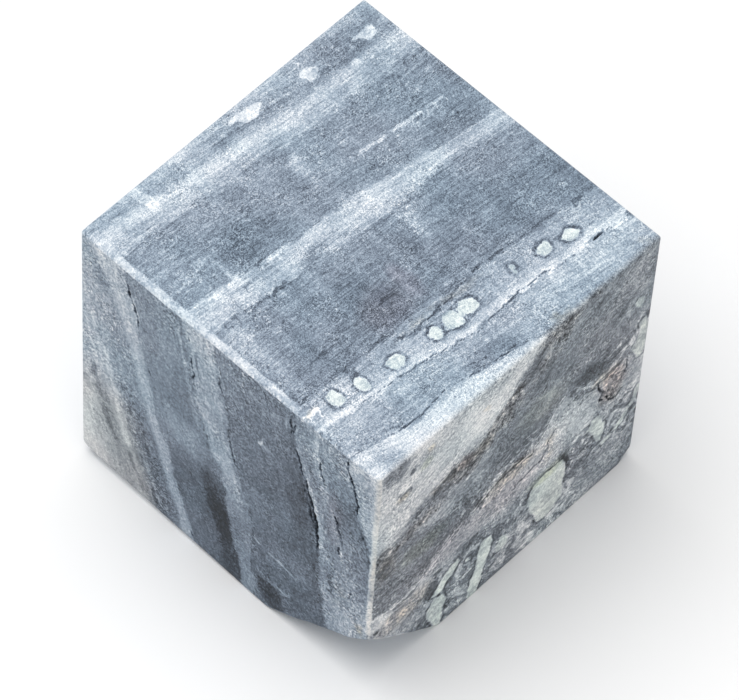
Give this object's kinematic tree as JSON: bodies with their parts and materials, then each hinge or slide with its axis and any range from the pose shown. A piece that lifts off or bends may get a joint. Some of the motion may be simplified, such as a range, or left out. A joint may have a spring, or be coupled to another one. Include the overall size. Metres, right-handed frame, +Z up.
{
  "type": "marble block",
  "caption": "Sawn cube of banded blue-grey marble with eased arrises, open bedding fissures and one knocked-off base corner.",
  "frame": {"origin": "centre of the footprint, on the surface that the block stands on", "axes": "+Z up; the left face looks along -X and the right face along -Y, meeting in the front arris above the broken corner; the bands run across the top along X"},
  "size_m": [0.1, 0.1014, 0.1013],
  "materials": {
    "marble": "honed, with pale and dark bedding bands, veins and pebbles; slight soft sheen"
  },
  "bodies": {
    "root": {"marble_block": "marble"}
  },
  "joints": []
}
